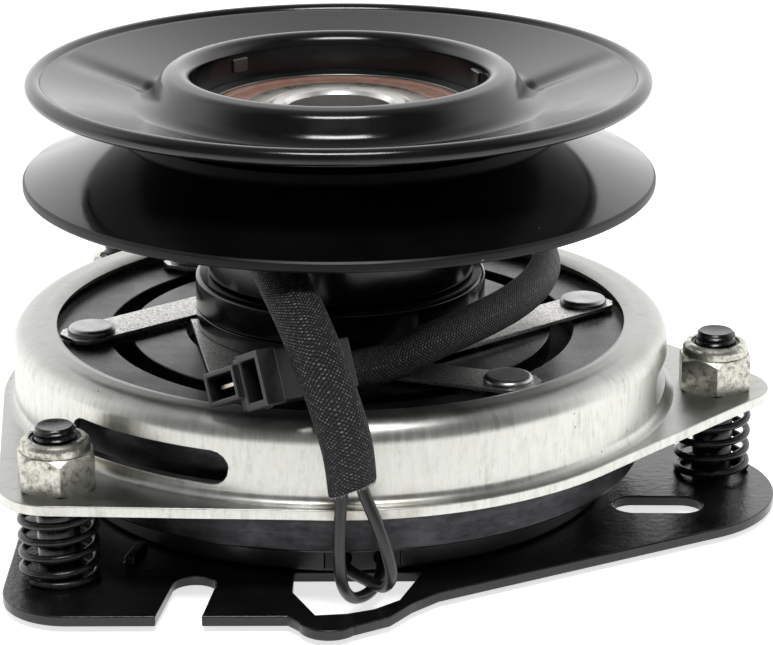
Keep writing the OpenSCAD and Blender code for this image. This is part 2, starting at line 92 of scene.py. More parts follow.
# ---- materials --------------------------------------------------------------
class Shader:
    """A Principled material, with short ways to add procedural detail to it."""

    def __init__(self, name, color, metallic=0.0, roughness=0.5, **sockets):
        self.mat = bpy.data.materials.new(name)
        self.mat.use_nodes = True
        self.tree = self.mat.node_tree
        self.bsdf = next(n for n in self.tree.nodes if n.type == "BSDF_PRINCIPLED")
        self.set("Base Color", (*color, 1))
        self.set("Metallic", metallic)
        self.set("Roughness", roughness)
        for key, value in sockets.items():
            self.set(key.replace("_", " "), value)

    def set(self, socket, value):
        self.bsdf.inputs[socket].default_value = value

    def drive(self, socket, output):
        self.tree.links.new(output, self.bsdf.inputs[socket])

    def node(self, kind, *inputs, out=0, **settings):
        """Adds a node; inputs are values or outputs for its sockets, in order, and None skips one."""
        n = self.tree.nodes.new(kind)
        for key, value in settings.items():
            setattr(n, key, value)
        for socket, value in zip(n.inputs, inputs):
            if isinstance(value, bpy.types.NodeSocket):
                self.tree.links.new(value, socket)
            elif value is not None:
                socket.default_value = value
        return n.outputs[out]

    def math(self, operation, *inputs):
        return self.node("ShaderNodeMath", *inputs, operation=operation)

    def vector(self, operation, *inputs, out=0):
        return self.node("ShaderNodeVectorMath", *inputs, operation=operation, out=out)

    def axis(self, vector, index):
        """One coordinate of a vector: 0 is X, 1 is Y and 2 is Z."""
        return self.node("ShaderNodeSeparateXYZ", vector, out=index)

    def total(self, a, a_share, b, b_share):
        """The sum of a and b, each times its share."""
        return self.math("ADD", self.math("MULTIPLY", a, a_share), self.math("MULTIPLY", b, b_share))

    def place(self):
        """The point on the object in millimetres."""
        at = self.node("ShaderNodeTexCoord", out="Object")
        return self.vector("MULTIPLY", at, (1000, 1000, 1000))

    def turned(self, radial, around, along):
        """A vector for marks round the axis.

        One turn follows a circle of radius around. The third coordinate grows by radial per mm
        outwards and by along per mm upwards.
        """
        at = self.place()
        flat = self.vector("MULTIPLY", at, (1, 1, 0))
        out = self.vector("LENGTH", flat, out=1)
        ring = self.vector("MULTIPLY", self.vector("NORMALIZE", flat), (around, around, 0))
        third = self.total(out, radial, self.axis(at, 2), along)
        return self.vector("ADD", ring, self.node("ShaderNodeCombineXYZ", 0.0, 0.0, third))

    def noise(self, vector, scale=1.0, detail=3.0, roughness=0.5, distortion=0.0):
        n = self.tree.nodes.new("ShaderNodeTexNoise")
        self.tree.links.new(vector, n.inputs["Vector"])
        n.inputs["Scale"].default_value = scale
        n.inputs["Detail"].default_value = detail
        n.inputs["Roughness"].default_value = roughness
        n.inputs["Distortion"].default_value = distortion
        return n.outputs["Fac"]

    def specks(self, vector, scale, size):
        """1 inside small round dots, scattered about scale per mm, and 0 outside."""
        n = self.tree.nodes.new("ShaderNodeTexVoronoi")
        self.tree.links.new(vector, n.inputs["Vector"])
        n.inputs["Scale"].default_value = scale
        return self.math("LESS_THAN", n.outputs["Distance"], size)

    def ramp(self, fac, *stops):
        """A colour ramp; each stop is (position, grey or colour)."""
        n = self.tree.nodes.new("ShaderNodeValToRGB")
        self.tree.links.new(fac, n.inputs["Fac"])
        points = n.color_ramp.elements
        while len(points) < len(stops):
            points.new(0.5)
        for point, (at, value) in zip(points, stops):
            point.position = at
            point.color = (*value, 1) if hasattr(value, "__len__") else (value, value, value, 1)
        return n.outputs["Color"]

    def span(self, fac, low, high, a=0.3, b=0.7):
        """A number that goes from low to high as fac goes from a to b."""
        return self.node("ShaderNodeMapRange", fac, a, b, low, high)

    def mix(self, fac, a, b, blend="MIX"):
        n = self.tree.nodes.new("ShaderNodeMix")
        n.data_type = "RGBA"
        n.blend_type = blend
        for socket, value in ((n.inputs[0], fac), (n.inputs[6], a), (n.inputs[7], b)):
            if isinstance(value, bpy.types.NodeSocket):
                self.tree.links.new(value, socket)
            else:
                socket.default_value = (*value, 1) if hasattr(value, "__len__") else value
        return n.outputs[2]

    def bump(self, height, depth, strength=1.0):
        """Relief of that depth in mm."""
        n = self.tree.nodes.new("ShaderNodeBump")
        n.inputs["Strength"].default_value = strength
        n.inputs["Distance"].default_value = depth * MM
        self.tree.links.new(height, n.inputs["Height"])
        self.drive("Normal", n.outputs["Normal"])


def shade(color, factor):
    return tuple(c * factor for c in color)


def gloss_black(name, roughness=0.16, dust=0.02, shine=0.5):
    """Black paint on a pressing, with faint orange peel, rub marks and pale specks."""
    s = Shader(name, (0.003, 0.003, 0.003), roughness=roughness, Specular_IOR_Level=shine)
    at = s.place()
    rub = s.noise(at, 0.05, 5, 0.65)
    s.drive("Roughness", s.span(rub, roughness - 0.03, roughness + 0.07))
    some = s.span(s.noise(at, 0.6), 0.0, 1.0, 0.45, 0.6)
    nick = s.math("MULTIPLY", s.specks(at, 0.16, dust), some)
    tone = s.ramp(rub, (0.3, (0.002, 0.002, 0.002)), (0.7, (0.0045, 0.0045, 0.0047)))
    s.drive("Base Color", s.mix(nick, tone, (0.3, 0.3, 0.29)))
    s.bump(s.math("ADD", s.noise(at, 0.9, 2), s.math("MULTIPLY", nick, 0.8)), 0.006)
    return s.mat


def satin_black(name, grain=0.05, roughness=0.34):
    """Electro-coated plate with the fine grain of hot-rolled steel under it."""
    s = Shader(name, (0.004, 0.004, 0.004), roughness=roughness)
    at = s.place()
    grit = s.noise(at, 2.4, 4, 0.6)
    patch = s.noise(at, 0.07, 4, 0.6)
    s.drive("Roughness", s.span(s.total(grit, 0.4, patch, 0.6), roughness - 0.08, roughness + 0.12))
    s.drive("Base Color", s.ramp(patch, (0.3, (0.003, 0.003, 0.003)), (0.75, (0.008, 0.008, 0.0085))))
    dips = s.noise(at, 0.5, 3, 0.6)
    s.bump(s.total(grit, 0.5, dips, 1.6), grain)
    return s.mat


def zinc_pressing(name):
    """Zinc-plated drum: drawing marks run up the wall, and the top has smears and stains; faces that look
    up are also coloured darker than the wall, which is painted shade.
    """
    s = Shader(name, (0.6, 0.6, 0.57), metallic=1.0, roughness=0.33)
    streak = s.noise(s.turned(0.05, 45.0, 0.09), 1.0, 6, 0.68)
    fine = s.noise(s.turned(0.3, 190.0, 0.35), 1.0, 3, 0.6)
    cloud = s.noise(s.place(), 0.06, 5, 0.6, 0.6)
    up = s.axis(s.node("ShaderNodeNewGeometry", out="Normal"), 2)
    flat = s.span(s.math("ABSOLUTE", up), 0.0, 1.0, 0.35, 0.8)
    wall = s.ramp(s.total(streak, 0.65, fine, 0.35),
                  (0.33, (0.5, 0.5, 0.46)), (0.5, (0.61, 0.61, 0.57)), (0.66, (0.68, 0.68, 0.65)))
    # painted shade: faces that look up get a darker zinc than the wall, with their own cloudy variation
    top = s.ramp(cloud, (0.3, (0.34, 0.34, 0.315)), (0.5, (0.41, 0.41, 0.395)), (0.72, (0.47, 0.47, 0.46)))
    tone = s.mix(flat, wall, top)
    smears = s.noise(s.place(), 0.13, 7, 0.78, 0.3)
    runs = s.noise(s.turned(0.3, 60.0, 0.15), 1.0, 5, 0.7)
    grime = s.math("MULTIPLY", smears, runs)
    tone = s.mix(s.span(grime, 0.0, 0.42, 0.27, 0.42), tone, (0.2, 0.2, 0.165))
    blot = s.math("MULTIPLY", s.specks(s.place(), 0.2, 0.06), s.span(s.noise(s.place(), 1.3), 0.0, 1.0))
    low_down = s.span(s.axis(s.place(), 2), 1.0, 0.0, 27.0, 33.0)
    patches = s.span(s.noise(s.place(), 0.035, 5, 0.6, 0.5), 0.0, 0.5, 0.55, 0.68)
    tone = s.mix(s.math("MULTIPLY", low_down, patches), tone, (0.2, 0.15, 0.09))
    s.drive("Base Color", s.mix(blot, tone, (0.08, 0.075, 0.065)))
    s.drive("Roughness", s.span(s.mix(flat, streak, cloud), 0.3, 0.42))
    s.bump(s.mix(flat, fine, s.noise(s.place(), 1.2, 3)), 0.012, 0.7)
    return s.mat


def zinc_nut(name):
    """Yellowish zinc on a nut, with dark handling marks."""
    s = Shader(name, (0.6, 0.6, 0.55), metallic=1.0, roughness=0.3)
    at = s.place()
    wear = s.noise(at, 0.55, 6, 0.75)
    s.drive("Base Color", s.ramp(wear, (0.32, (0.07, 0.067, 0.05)), (0.42, (0.34, 0.33, 0.28)),
                                 (0.55, (0.6, 0.6, 0.54))))
    s.drive("Roughness", s.span(wear, 0.5, 0.26))
    s.bump(s.noise(at, 1.1, 4, 0.6), 0.04)
    return s.mat


def turned_dark(name, lines=3.2, depth=0.03, color=(0.028, 0.028, 0.031), roughness=0.25):
    """Dark steel with the marks of facing on a lathe."""
    s = Shader(name, color, metallic=0.85, roughness=roughness)
    groove = s.noise(s.turned(lines, 9.0, 0.4), 1.0, 4, 0.7)
    patch = s.noise(s.place(), 0.08, 4, 0.6)
    s.drive("Base Color", s.ramp(s.total(groove, 0.7, patch, 0.3),
                                 (0.36, shade(color, 0.45)), (0.5, color), (0.66, shade(color, 1.9))))
    s.drive("Roughness", s.span(patch, roughness - 0.06, roughness + 0.1))
    s.bump(groove, depth)
    return s.mat


def ground_steel(name, color=(0.6, 0.6, 0.61), roughness=0.2, lines=5.0):
    """Bright turned or ground steel, marked round the axis."""
    s = Shader(name, color, metallic=1.0, roughness=roughness)
    groove = s.noise(s.turned(lines, 2.0, lines), 1.0, 3, 0.6)
    stain = s.noise(s.place(), 0.12, 4, 0.6)
    s.drive("Base Color", s.mix(s.span(stain, 0.0, 0.5), color, shade(color, 0.6)))
    s.drive("Roughness", s.span(stain, roughness - 0.04, roughness + 0.12))
    s.bump(groove, 0.003)
    return s.mat


def speckled_steel(name):
    """Plated spring steel, pale with dark specks."""
    s = Shader(name, (0.66, 0.65, 0.63), metallic=1.0, roughness=0.32)
    at = s.place()
    grit = s.noise(at, 1.7, 5, 0.75)
    s.drive("Base Color", s.ramp(grit, (0.36, (0.2, 0.19, 0.18)), (0.46, (0.56, 0.55, 0.53)),
                                 (0.6, (0.76, 0.75, 0.73))))
    s.drive("Roughness", s.span(grit, 0.5, 0.3))
    s.bump(grit, 0.02)
    return s.mat


def oily_black(name, color=(0.018, 0.018, 0.02), roughness=0.26, metallic=0.6):
    """Black oxide or phosphate with oil on it."""
    s = Shader(name, color, metallic=metallic, roughness=roughness)
    at = s.place()
    wet = s.noise(at, 0.5, 5, 0.65)
    s.drive("Roughness", s.span(wet, roughness - 0.08, roughness + 0.16))
    s.drive("Base Color", s.ramp(wet, (0.3, shade(color, 0.5)), (0.7, shade(color, 2.2))))
    s.bump(s.noise(at, 3.0, 3), 0.015)
    return s.mat


def plastic(name, color, roughness=0.35, grain=0.01):
    """Moulded plastic or rubber with a faint grain."""
    s = Shader(name, color, roughness=roughness)
    at = s.place()
    cloud = s.noise(at, 0.3, 4, 0.6)
    s.drive("Roughness", s.span(cloud, roughness - 0.06, roughness + 0.08))
    pale = tuple(c * 1.8 + 0.002 for c in color)
    s.drive("Base Color", s.mix(s.span(cloud, 0.0, 0.6), color, pale))
    s.bump(s.noise(at, 4.0, 3), grain)
    return s.mat


def wound_copper(name):
    """Enamelled copper wire seen as the rows of a winding."""
    s = Shader(name, (0.5, 0.2, 0.08), metallic=1.0, roughness=0.3)
    rows = s.tree.nodes.new("ShaderNodeTexWave")
    rows.bands_direction = "Z"
    rows.inputs["Scale"].default_value = 0.45
    s.tree.links.new(s.turned(1.0, 0.1, 1.0), rows.inputs["Vector"])
    s.drive("Base Color", s.ramp(rows.outputs["Fac"], (0.0, (0.16, 0.05, 0.02)), (0.6, (0.6, 0.27, 0.12))))
    s.bump(rows.outputs["Fac"], 0.2)
    return s.mat


def lining(name):
    """Friction material, with fibres and grit."""
    s = Shader(name, (0.13, 0.1, 0.075), roughness=0.85)
    grit = s.noise(s.place(), 1.6, 6, 0.75)
    s.drive("Base Color", s.ramp(grit, (0.3, (0.05, 0.04, 0.03)), (0.55, (0.15, 0.115, 0.085)),
                                 (0.7, (0.3, 0.26, 0.2))))
    s.bump(grit, 0.08)
    return s.mat


def braid(name):
    """Nylon braid. The UV map counts strands round the sleeve and along it."""
    s = Shader(name, (0.014, 0.014, 0.015), roughness=0.42, Specular_IOR_Level=0.3)
    uv = s.node("ShaderNodeTexCoord", out="UV")
    u, v = s.axis(uv, 0), s.axis(uv, 1)
    # the strands cross on a diamond grid; painted glints lighten the crowns of some strands, and painted
    # shade darkens the grooves between them
    ridges = [s.math("ABSOLUTE", s.math("SINE", s.math("MULTIPLY", s.math(sign, u, v), math.pi)))
              for sign in ("ADD", "SUBTRACT")]
    thread = s.math("MULTIPLY", *ridges)
    crown = s.span(thread, 0.0, 1.0, 0.62, 0.95)
    some = s.span(s.noise(uv, 0.9, 2), 0.0, 1.0, 0.45, 0.62)
    # painted shade: darker colour in the grooves between the strands
    tone = s.ramp(thread, (0.1, (0.002, 0.002, 0.002)), (0.9, (0.011, 0.011, 0.012)))
    # painted glints: some strand crowns mixed towards pale grey
    s.drive("Base Color", s.mix(s.math("MULTIPLY", crown, some), tone, (0.2, 0.2, 0.2)))
    s.drive("Roughness", s.span(thread, 0.6, 0.34, 0.1, 0.9))
    s.bump(thread, 0.16)
    return s.mat


PULLEY_PAINT = gloss_black("pulley_paint")
LOWER_PAINT = gloss_black("lower_flange_paint", 0.11)
ROOT_PAINT = gloss_black("groove_root_paint", 0.5, 0.01, 0.12)
EDGE_PAINT = gloss_black("flange_edge_paint", 0.4, 0.05, 0.3)
HUB_PAINT = gloss_black("hub_paint", 0.15)
PLATE_COAT = satin_black("plate_coat", 0.07, 0.2)
SHELL_COAT = satin_black("shell_coat", 0.015, 0.3)
ZINC = zinc_pressing("zinc_plate")
NUT_ZINC = zinc_nut("nut_zinc")
ARMATURE_STEEL = turned_dark("armature_steel")
ROTOR_STEEL = turned_dark("rotor_steel", 4.0, 0.008, (0.03, 0.03, 0.033), 0.3)
HUB_STEEL = ground_steel("hub_steel", (0.78, 0.77, 0.76), 0.3)
RACE_STEEL = ground_steel("race_steel", (0.46, 0.43, 0.39), 0.26, 8.0)
OUTER_RACE = ground_steel("outer_race_steel", (0.2, 0.2, 0.2), 0.3, 8.0)
BALL_STEEL = ground_steel("ball_steel", (0.7, 0.7, 0.72), 0.06, 1.0)
CAGE_BRASS = ground_steel("cage_metal", (0.62, 0.47, 0.25), 0.3, 3.0)
LEAF_STEEL = speckled_steel("leaf_steel")
LUG_STEEL = ground_steel("worn_lug_steel", (0.17, 0.165, 0.16), 0.34, 0.5)
RIVET_STEEL = ground_steel("rivet_steel", (0.42, 0.42, 0.42), 0.3, 0.3)
STUD_BLACK = oily_black("stud_black", (0.03, 0.03, 0.032), 0.22, 0.85)
SPRING_BLACK = oily_black("spring_black", (0.012, 0.012, 0.013), 0.24, 0.3)
BRAID = braid("braid_nylon")
FRAY = plastic("frayed_threads", (0.2, 0.2, 0.19), 0.6, 0.01)
WIRE = plastic("wire_insulation", (0.008, 0.008, 0.008), 0.32, 0.006)
CONNECTOR = plastic("connector_nylon", (0.006, 0.006, 0.0065), 0.34)
GROMMET = plastic("grommet_rubber", (0.012, 0.012, 0.012), 0.6, 0.03)
SEAL = plastic("seal_rubber", (0.2, 0.105, 0.078), 0.42, 0.02)
SEAL_BLACK = plastic("seal_black", (0.015, 0.015, 0.015), 0.5, 0.02)
BOBBIN = plastic("bobbin_nylon", (0.02, 0.02, 0.02), 0.45)
POTTING = plastic("potting_resin", (0.012, 0.012, 0.014), 0.2)
INSERT = plastic("insert_nylon", (0.012, 0.012, 0.018), 0.35)
COPPER = wound_copper("copper_wire")
FRICTION = lining("friction_lining")
TERMINAL = ground_steel("terminal_tin", (0.72, 0.68, 0.55), 0.25, 1.0)


# ---- mesh builders ------------------------------------------------------------
def add_object(name, mesh, body, material, sharp=32):
    """Puts a mesh in the scene, smooth except at its sharp edges, and on its body if it has one."""
    mesh.shade_smooth()
    mesh.set_sharp_from_angle(angle=math.radians(sharp))
    mesh.materials.append(material)
    obj = bpy.data.objects.new(name, mesh)
    bpy.context.scene.collection.objects.link(obj)
    if body:
        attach(obj, body)
    return obj


def mesh_of(name, verts, faces):
    mesh = bpy.data.meshes.new(name)
    mesh.from_pydata([tuple(v) for v in verts], [], faces)
    mesh.update()
    return mesh


def mesh_from(name, bm):
    bmesh.ops.recalc_face_normals(bm, faces=bm.faces)
    mesh = bpy.data.meshes.new(name)
    bm.to_mesh(mesh)
    bm.free()
    return mesh


def creases(bm, angle):
    """The edges where two faces meet at more than angle degrees."""
    return [e for e in bm.edges if len(e.link_faces) == 2 and e.calc_face_angle(0) > math.radians(angle)]


def extrude(bm, faces, shift):
    """Makes a solid from faces, by moving a copy of them by shift."""
    lifted = bmesh.ops.extrude_face_region(bm, geom=faces)
    moved = [v for v in lifted["geom"] if isinstance(v, bmesh.types.BMVert)]
    bmesh.ops.translate(bm, vec=shift, verts=moved)


def even_faces(obj):
    """Weights the normals by face area, so that flat faces next to rounded edges look flat."""
    weights = obj.modifiers.new("even_faces", "WEIGHTED_NORMAL")
    weights.keep_sharp = True


def refined(node, body, material, bevel=0.2, rings=2, flat=0.5, sharp=30, clamp=False):
    """A copy of a CAD node with merged points, clean flat faces and rounded edges, which stands for it."""
    bm = bmesh.new()
    bm.from_mesh(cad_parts[node].data)
    bmesh.ops.remove_doubles(bm, verts=bm.verts, dist=0.002 * MM)
    bmesh.ops.dissolve_limit(bm, angle_limit=math.radians(flat), verts=bm.verts, edges=bm.edges)
    bmesh.ops.bevel(bm, geom=creases(bm, sharp), offset=bevel * MM, segments=rings, profile=0.5,
                    affect="EDGES", clamp_overlap=clamp, loop_slide=True)
    obj = add_object(node + "_finish", mesh_from(node, bm), body, material, 40)
    even_faces(obj)
    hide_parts(node)
    return obj


def lathe(name, profile, body, material, turns=256, sharp=32):
    """A closed outline of (radius, height) in mm, turned about the axis."""
    n = len(profile)
    verts = []
    for i in range(turns):
        a = 2 * math.pi * i / turns
        verts += [(r * MM * math.cos(a), r * MM * math.sin(a), z * MM) for r, z in profile]
    faces = []
    for i in range(turns):
        this, after = i * n, (i + 1) % turns * n
        faces += [(this + j, after + j, after + (j + 1) % n, this + (j + 1) % n) for j in range(n)]
    bm = bmesh.new()
    bm.from_mesh(mesh_of(name, verts, faces))
    return add_object(name, mesh_from(name, bm), body, material, sharp)


def filleted(corners, steps=8):
    """An open line through (r, z, fillet radius) corners, with each corner rounded off."""
    points = [Vector(c[:2]) for c in corners]
    out = [points[0]]
    for a, b, c, radius in zip(points, points[1:], points[2:], [c[2] for c in corners[1:]]):
        u, w = (a - b).normalized(), (c - b).normalized()
        half = u.angle(w) / 2
        if radius <= 0 or half > math.radians(89.5):
            out.append(b)
            continue
        reach = min(radius / math.tan(half), (a - b).length * 0.98, (c - b).length * 0.98)
        centre = b + (u + w).normalized() * reach / math.cos(half)
        start, end = b + u * reach - centre, b + w * reach - centre
        turn = start.angle_signed(end)
        for k in range(steps + 1):
            sine, cosine = math.sin(-turn * k / steps), math.cos(turn * k / steps)
            turned = (start.x * cosine - start.y * sine, start.x * sine + start.y * cosine)
            out.append(centre + Vector(turned))
    return out + [points[-1]]


def closed_fillets(corners, steps=6):
    """The same for a closed outline of (r, z, fillet radius)."""
    mid = ((corners[-1][0] + corners[0][0]) / 2, (corners[-1][1] + corners[0][1]) / 2, 0)
    return [tuple(p) for p in filleted([mid, *corners, mid], steps)[:-1]]


def sheet_outline(corners, thickness, steps=8, round_ends=5):
    """The closed outline of a bent sheet, from the line down its middle."""
    line = filleted(corners, steps)
    last = len(line) - 1
    tangents = [(line[min(i + 1, last)] - line[max(i - 1, 0)]).normalized() for i in range(last + 1)]
    sides = [Vector((-t.y, t.x)) for t in tangents]
    half = thickness / 2
    left = [p + side * half for p, side in zip(line, sides)]
    right = [p - side * half for p, side in zip(line, sides)]

    def cap(centre, direction, side):
        return [centre + side * half * math.cos(a) + direction * half * math.sin(a)
                for a in (math.pi * k / (round_ends + 1) for k in range(1, round_ends + 1))]

    far = cap(line[-1], tangents[-1], sides[-1])
    near = cap(line[0], -tangents[0], -sides[0])
    return [tuple(p) for p in left + far + right[::-1] + near]


def spline(points, per_span):
    """Places along the smooth route through points, by the CAD's own rule."""
    p = [np.array(q, float) for q in points]
    n = len(p)
    out = []
    for i in range(n - 1):
        a, b, c, d = p[max(i - 1, 0)], p[i], p[i + 1], p[min(i + 2, n - 1)]
        for j in range(per_span):
            t = j / per_span
            out.append(0.5 * (2 * b + (c - a) * t + (2 * a - 5 * b + 4 * c - d) * t * t
                              + (3 * b - a - 3 * c + d) * t ** 3))
    return np.array(out + [p[-1]])


def directions(line):
    """Unit vectors along a line, one per place."""
    ahead = np.gradient(line, axis=0)
    return ahead / np.linalg.norm(ahead, axis=1)[:, None]


def carried(ahead, first):
    """Side directions that turn as little as possible along a line."""
    out = [np.array(first, float)]
    for t in ahead:
        side = out[-1] - (out[-1] @ t) * t
        out.append(side / np.linalg.norm(side))
    return np.array(out[1:])


def sweep(name, line, side, up, section):
    """A closed tube along line; section(i) gives the ring's offsets along side and up, in metres."""
    rings = [np.array(section(i)) for i in range(len(line))]
    n = len(rings[0])
    verts = np.concatenate([line[i] + rings[i][:, :1] * side[i] + rings[i][:, 1:] * up[i]
                            for i in range(len(line))])
    faces = [(i * n + j, i * n + (j + 1) % n, (i + 1) * n + (j + 1) % n, (i + 1) * n + j)
             for i in range(len(line) - 1) for j in range(n)]
    faces += [tuple(range(n))[::-1], tuple((len(line) - 1) * n + j for j in range(n))]
    return mesh_of(name, verts, faces)


# ---- lead: two wires and a braided sleeve ---------------------------------------
SLEEVE_ROUTE = [
    (3.8, -89.7, 34.5), (2.8, -91, 43.8), (0.1, -91, 54.2), (-3.5, -87.5, 63.4), (-7.1, -79, 69.6),
    (-11.4, -67, 74.4), (-16.1, -53, 77.8), (-26, -41, 79), (-38, -28, 78.5), (-46.5, -6, 76.5),
    (-42.5, 20, 74), (-28, 38.5, 71.5), (-5, 47, 69), (19, 44, 66.5), (37.5, 35.5, 63.5),
    (49, 23, 60), (52, 9, 57.5), (48.5, -8, 56), (41.5, -23, 55.3), (31.5, -37, 54.8),
    (21, -48, 53.7), (11.5, -55.8, 51.8), (4.5, -60.6, 52.1), (-0.4, -64.2, 52.7),
]
# where the flat sleeve's width points, at the same stations
SLEEVE_WIDTH = [
    (1, 0.05, 0.1), (1, 0.05, 0.15), (1, 0, 0.2), (1, 0, 0.3), (1, 0.1, 0.4),
    (0.9, 0.2, 0.5), (0.6, 0.5, 0.6), (0.2, 0.4, 0.9), (0, 0.2, 1), (0, 0, 1),
    (0, 0, 1), (0, 0, 1), (0, 0, 1), (0, 0, 1), (0, 0, 1),
    (-0.2, 0, 1), (-0.4, 0, 1), (-0.4, 0, 1), (-0.3, 0.3, 1), (-0.3, 0.3, 1),
    (-0.3, 0.3, 1), (-0.2, 0.2, 1), (-0.1, 0.1, 1), (0, 0, 1),
]
WIRE_A_ROUTE = [
    (10.2, -65, 8), (10.4, -69, 7.4), (9.6, -74, 5.3), (7, -79, 4), (3.6, -83.6, 5),
    (1.4, -88, 10), (0.8, -90, 17), (0.9, -90.2, 25), (1.5, -89.7, 33), (1.7, -89.4, 36.5),
]
WIRE_B_ROUTE = [
    (1.4, -65, 8), (1.2, -69, 8), (2.6, -74, 7.7), (6.6, -79.5, 7.6), (10.6, -84.5, 8),
    (12.4, -88.6, 12.5), (11.6, -90.4, 18.5), (9.2, -90.6, 26), (6.4, -90, 33), (5.7, -89.6, 36.5),
]
WIRE_D = 2.9
SLEEVE_W, SLEEVE_H = 11.6, 5.6
# the braid: strands round the sleeve in each direction, mm of length per strand, and its relief in mm
STRANDS = 30
PITCH = 0.95
RELIEF = 0.1
# the sleeve's rings: vertices round it, and rings between two stations of its route
SLEEVE_AROUND = 192
SLEEVE_STEPS = 34
# the sleeve is narrower near its mouth, near its end, and from behind the hub on: lengths in mm
MOUTH_LENGTH, TAIL_LENGTH = 14, 10
NARROW_FROM, NARROW_OVER = 205, 60
# the cut at the mouth leans back over this length
SLANT_LENGTH = 9


def add_wire(name, route, node):
    """A slightly oval insulated wire on its route."""
    line = spline(route, 10) * MM
    ahead = directions(line)
    side = carried(ahead, (1, 0, 0.02))
    up = np.cross(ahead, side)
    ring = [(math.cos(2 * math.pi * k / 16), math.sin(2 * math.pi * k / 16)) for k in range(16)]
    half = WIRE_D * MM / 2
    mesh = sweep(name, line, side, up, lambda i: [(half * c, half * 0.92 * s) for c, s in ring])
    obj = add_object(name, mesh, FIELD, WIRE, 60)
    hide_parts(node)


def weave_height(s):
    """The braid's height, 0 to 1, round the sleeve at s mm from its mouth."""
    turns = np.arange(SLEEVE_AROUND) / SLEEVE_AROUND * STRANDS
    one, two = turns + s / PITCH, turns - s / PITCH
    ridge_one, ridge_two = np.abs(np.sin(math.pi * one)), np.abs(np.sin(math.pi * two))
    # where one strand lies on top, it has its full height, and the other has 0.45 of it
    over = (np.floor(one) + np.floor(two)) % 2
    return np.maximum(ridge_one * (0.45 + 0.55 * over), ridge_two * (1 - 0.55 * over))


def sleeve_section(s, total):
    """The sleeve's outline at s mm from its mouth: metres along its width and its thickness."""
    angles = 2 * math.pi * np.arange(SLEEVE_AROUND) / SLEEVE_AROUND
    cos, sin = np.cos(angles), np.sin(angles)
    mouth = max(0.0, 1 - s / MOUTH_LENGTH)
    tail = max(0.0, 1 - (total - s) / TAIL_LENGTH)
    far = min(1.0, max(0.0, (s - NARROW_FROM) / NARROW_OVER))
    a = (SLEEVE_W / 2 * (1 - 0.05 * mouth - 0.22 * far - 0.12 * tail)) * MM
    # the thickness also swells and sinks gently along the sleeve
    b = (SLEEVE_H / 2 * (1 - 0.25 * mouth + 0.1 * tail) * (1 + 0.1 * math.sin(s / 9))) * MM
    relief = 1 + RELIEF * MM * (weave_height(s) - 0.5) / np.sqrt((a * cos) ** 2 + (b * sin) ** 2)
    corner = np.abs(cos) ** 0.8 * np.sign(cos), np.abs(sin) ** 0.9 * np.sign(sin)
    return np.stack([a * corner[0] * relief, b * corner[1] * relief], axis=1)


def map_weave(mesh, lengths):
    """UVs that count strands round the sleeve and along it; lengths has each ring's mm from the mouth."""
    uv = mesh.uv_layers.new(name="weave")
    values = np.zeros((len(mesh.loops), 2), np.float32)
    for polygon in mesh.polygons:
        corners = [divmod(mesh.loops[k].vertex_index, SLEEVE_AROUND) for k in polygon.loop_indices]
        at_seam = polygon.loop_total == 4 and any(j == SLEEVE_AROUND - 1 for ring, j in corners)
        for k, (ring, j) in zip(polygon.loop_indices, corners):
            turn = 1.0 if at_seam and j == 0 else j / SLEEVE_AROUND
            values[k] = (turn * STRANDS, lengths[ring] / PITCH)
    uv.data.foreach_set("uv", values.ravel())


def add_sleeve():
    """A flattened braided tube with real relief, open and slightly frayed where the wires come out."""
    line = spline(SLEEVE_ROUTE, SLEEVE_STEPS) * MM
    wide = spline(SLEEVE_WIDTH, SLEEVE_STEPS)
    ahead = directions(line)
    side = wide - (wide * ahead).sum(1)[:, None] * ahead
    side /= np.linalg.norm(side, axis=1)[:, None]
    up = np.cross(ahead, side)
    along = np.concatenate([[0], np.cumsum(np.linalg.norm(np.diff(line, axis=0), axis=1))]) / MM

    def placed(i, ring):
        # the mouth is cut at a slant
        slant = 0.28 * max(0.0, 1 - along[i] / SLANT_LENGTH) ** 2
        return line[i] + ring[:, :1] * (side[i] + slant * ahead[i]) + ring[:, 1:] * up[i]

    outer = [sleeve_section(s, along[-1]) for s in along]
    # the skin runs from the far end to the mouth, turns in there and goes a little way back inside
    skin = list(range(len(line)))[::-1]
    lining_rings = list(range(0, SLEEVE_STEPS * 3, 4))
    verts = [placed(i, outer[i]) for i in skin] + [placed(i, outer[i] * 0.86) for i in lining_rings]
    count, n = len(verts), SLEEVE_AROUND
    faces = []
    for i in range(count - 1):
        this, after = i * n, (i + 1) * n
        faces += [(this + j, after + j, after + (j + 1) % n, this + (j + 1) % n) for j in range(n)]
    faces += [tuple(range(n)), tuple((count - 1) * n + j for j in range(n))[::-1]]
    mesh = mesh_of("braided_sleeve_weave", np.concatenate(verts), faces)
    map_weave(mesh, [along[i] for i in skin + lining_rings])
    obj = add_object("braided_sleeve_weave", mesh, FIELD, BRAID, 75)
    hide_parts("braided_sleeve")
    add_fray(placed(0, outer[0] * 0.95), -ahead[0], line[0])
    return obj, line


